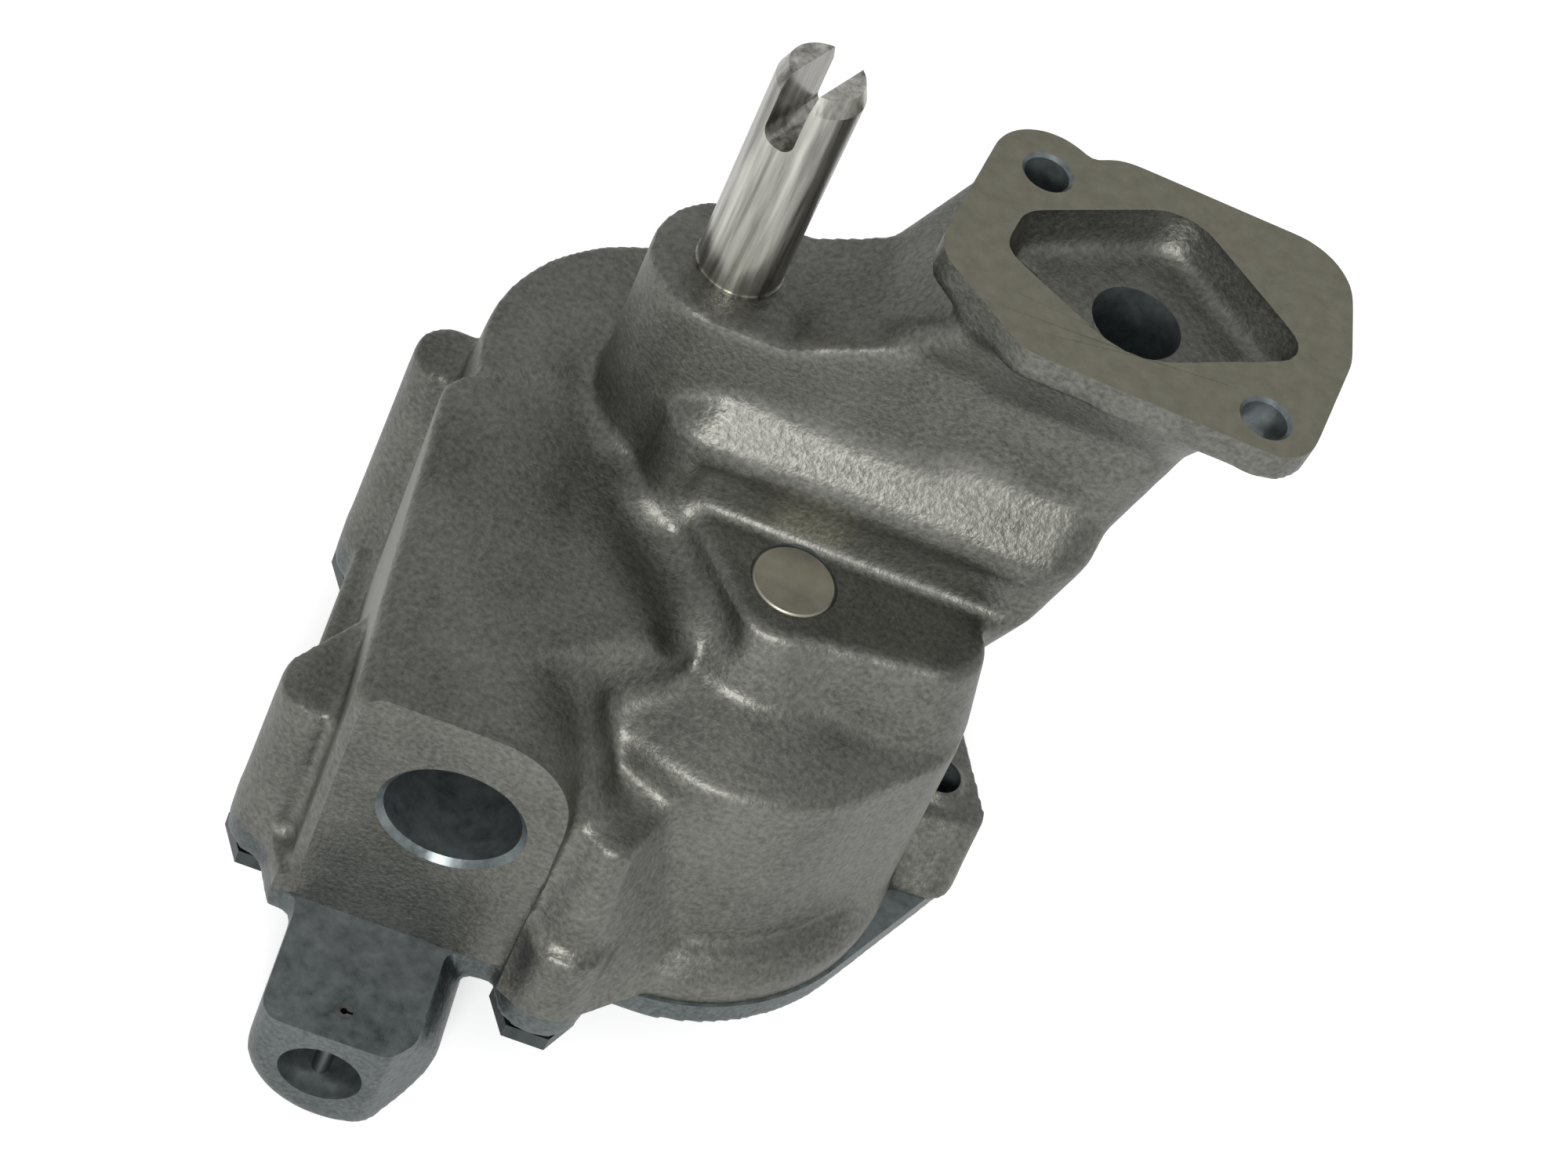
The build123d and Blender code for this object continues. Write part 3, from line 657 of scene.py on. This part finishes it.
# Body casting
TOP_FACE = (Vector((0, 0, 0)), UP)
PAD_FACE = (Vector((0, PAD_Y, 0)), FRONT)
BODY_JOINT = (Vector((0, 0, JOINT_Z)), DOWN)
pad_slab = block(
    "pad_cut",
    Vector((PAD_LEFT, PAD_Y - 2 * OVERRUN, JOINT_Z - OVERRUN)),
    Vector((PAD_RIGHT, PAD_Y, PAD_TOP)),
    BODY_IRON,
)
body_cutters = body_bores(0, OVERRUN) + [
    pad_slab,
    countersink("pickup_inlet", Vector((INLET.x, PAD_Y, INLET.z)), INLET_CHAMFER),
    countersink("dowel_left", at(DOWEL_LEFT, 0), DOWEL_CHAMFER),
    countersink("dowel_right", at(DOWEL_RIGHT, 0), DOWEL_CHAMFER),
]
corner_web = rod("corner_web", WEB_START, WEB_END, WEB_R)
roof_hollows = [
    rod("hollow", start, end, start_r, end_r)
    for (start, start_r), (end, end_r) in zip(HOLLOW, HOLLOW[1:])
]
roof_hollows.append(block("hollow", FOOT_LOW, FOOT_HIGH))
pump_body = casting(
    "pump_body",
    "pump_body_casting",
    BODY_IRON,
    [TOP_FACE, PAD_FACE, BODY_JOINT],
    roof_hollows,
    [(*TOP_FACE, MILLED_IRON), (*BODY_JOINT, BORED_IRON)],
    body_bores(PLUG_WALL, 0) + [corner_web],
    SOFT_SPOTS,
    body_cutters,
)

# Cover casting
COVER_JOINT = (Vector((0, 0, JOINT_Z)), UP)
cover = casting(
    "cover",
    "cover_casting",
    COVER_IRON,
    [COVER_JOINT],
    [],
    [(*COVER_JOINT, COVER_IRON)],
    cover_bores(PLUG_WALL, 0),
    [],
    cover_bores(0, OVERRUN),
)

# Finishes of the pieces whose shape the CAD model holds
finishes = {
    "drive_shaft": SHAFT_STEEL,
    "drive_gear": GEAR_STEEL,
    "idler_gear": GEAR_STEEL,
    "idler_shaft": DISC_STEEL,
    "relief_piston": GEAR_STEEL,
    "relief_roll_pin": SPRING_STEEL,
}
for number in BOLT_NUMBERS:
    finishes[f"cover_bolt_{number}"] = BOLT_STEEL
    finishes[f"lock_washer_{number}"] = BOLT_STEEL
for node, finish in finishes.items():
    mesh = frame["nodes"][node].data
    mesh.materials.clear()
    mesh.materials.append(finish)

# Relief spring, a copy of the CAD coil with a mesh of its own
spring = copy_of_node("relief_spring", "relief_spring_coil")
spring.data.materials.append(SPRING_STEEL)
shade_smooth(spring)
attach(spring, "root")
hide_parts("relief_spring")
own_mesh(spring)

# Pale floor, which shows white to the camera and keeps the object's shadow
deselect_all()
bpy.ops.mesh.primitive_plane_add(size=FLOOR_SIZE, location=(0, 0, cad_bounds[0][2]))
floor = bpy.context.object
floor.name = "floor"
paper, paper_output, _ = new_material("white_paper")
sheet = add_node(paper, "ShaderNodeBsdfDiffuse", inputs={"Color": linear(PAPER_HEX)})
rays = add_node(paper, "ShaderNodeLightPath")
mirrored = add_node(
    paper,
    "ShaderNodeMath",
    {"operation": "MULTIPLY"},
    {0: rays.outputs["Is Glossy Ray"], 1: MIRROR_SHARE},
)
seen = add_node(
    paper,
    "ShaderNodeMath",
    {"operation": "MAXIMUM"},
    {0: rays.outputs["Is Camera Ray"], 1: mirrored.outputs[0]},
)
strength = add_node(
    paper, "ShaderNodeMath", {"operation": "MULTIPLY"}, {0: seen.outputs[0], 1: FLOOR_GLOW}
)
glow = add_node(paper, "ShaderNodeEmission", inputs={"Strength": strength.outputs[0]})
both = add_node(paper, "ShaderNodeAddShader", inputs={0: sheet.outputs[0], 1: glow.outputs[0]})
paper.node_tree.links.new(both.outputs[0], paper_output.inputs["Surface"])
floor.data.materials.append(paper)

# World light, white where the camera sees it
world = bpy.data.worlds.new("studio")
bpy.context.scene.world = world
world.use_nodes = True
world.node_tree.nodes.clear()
world_output = add_node(world, "ShaderNodeOutputWorld")
world_rays = add_node(world, "ShaderNodeLightPath")
light = add_node(
    world,
    "ShaderNodeMapRange",
    inputs={"Value": world_rays.outputs["Is Camera Ray"], "To Min": WORLD_LIGHT, "To Max": 1},
)
sky = add_node(
    world,
    "ShaderNodeBackground",
    inputs={"Color": linear(WHITE_HEX), "Strength": light.outputs[0]},
)
world.node_tree.links.new(sky.outputs[0], world_output.inputs["Surface"])

# Camera, turned about the point that it looks at
turn = Euler((radians(90) - ELEVATION, 0, AZIMUTH)).to_matrix().to_4x4()
camera = bpy.data.objects.new("camera", bpy.data.cameras.new("camera"))
bpy.context.scene.collection.objects.link(camera)
camera.matrix_world = (
    Matrix.Translation(AIM)
    @ turn
    @ Matrix.Rotation(ROLL, 4, "Z")
    @ Matrix.Translation((0, 0, CAMERA_DISTANCE))
)
camera.data.lens = LENS_MM
camera.data.sensor_width = SENSOR_MM
camera.data.clip_start = CAMERA_CLIP
bpy.context.scene.camera = camera

# Lamps, turned about the same point
for name, lamp_azimuth, lamp_elevation, distance, width, power in LAMPS:
    lamp = bpy.data.objects.new(name, bpy.data.lights.new(name, "AREA"))
    bpy.context.scene.collection.objects.link(lamp)
    lamp.data.shape = "DISK"
    lamp.data.size = width
    lamp.data.energy = power
    lamp_turn = Euler((radians(90 - lamp_elevation), 0, radians(lamp_azimuth))).to_matrix().to_4x4()
    lamp.matrix_world = Matrix.Translation(AIM) @ lamp_turn @ Matrix.Translation((0, 0, distance))

bpy.context.scene.view_settings.view_transform = "Standard"
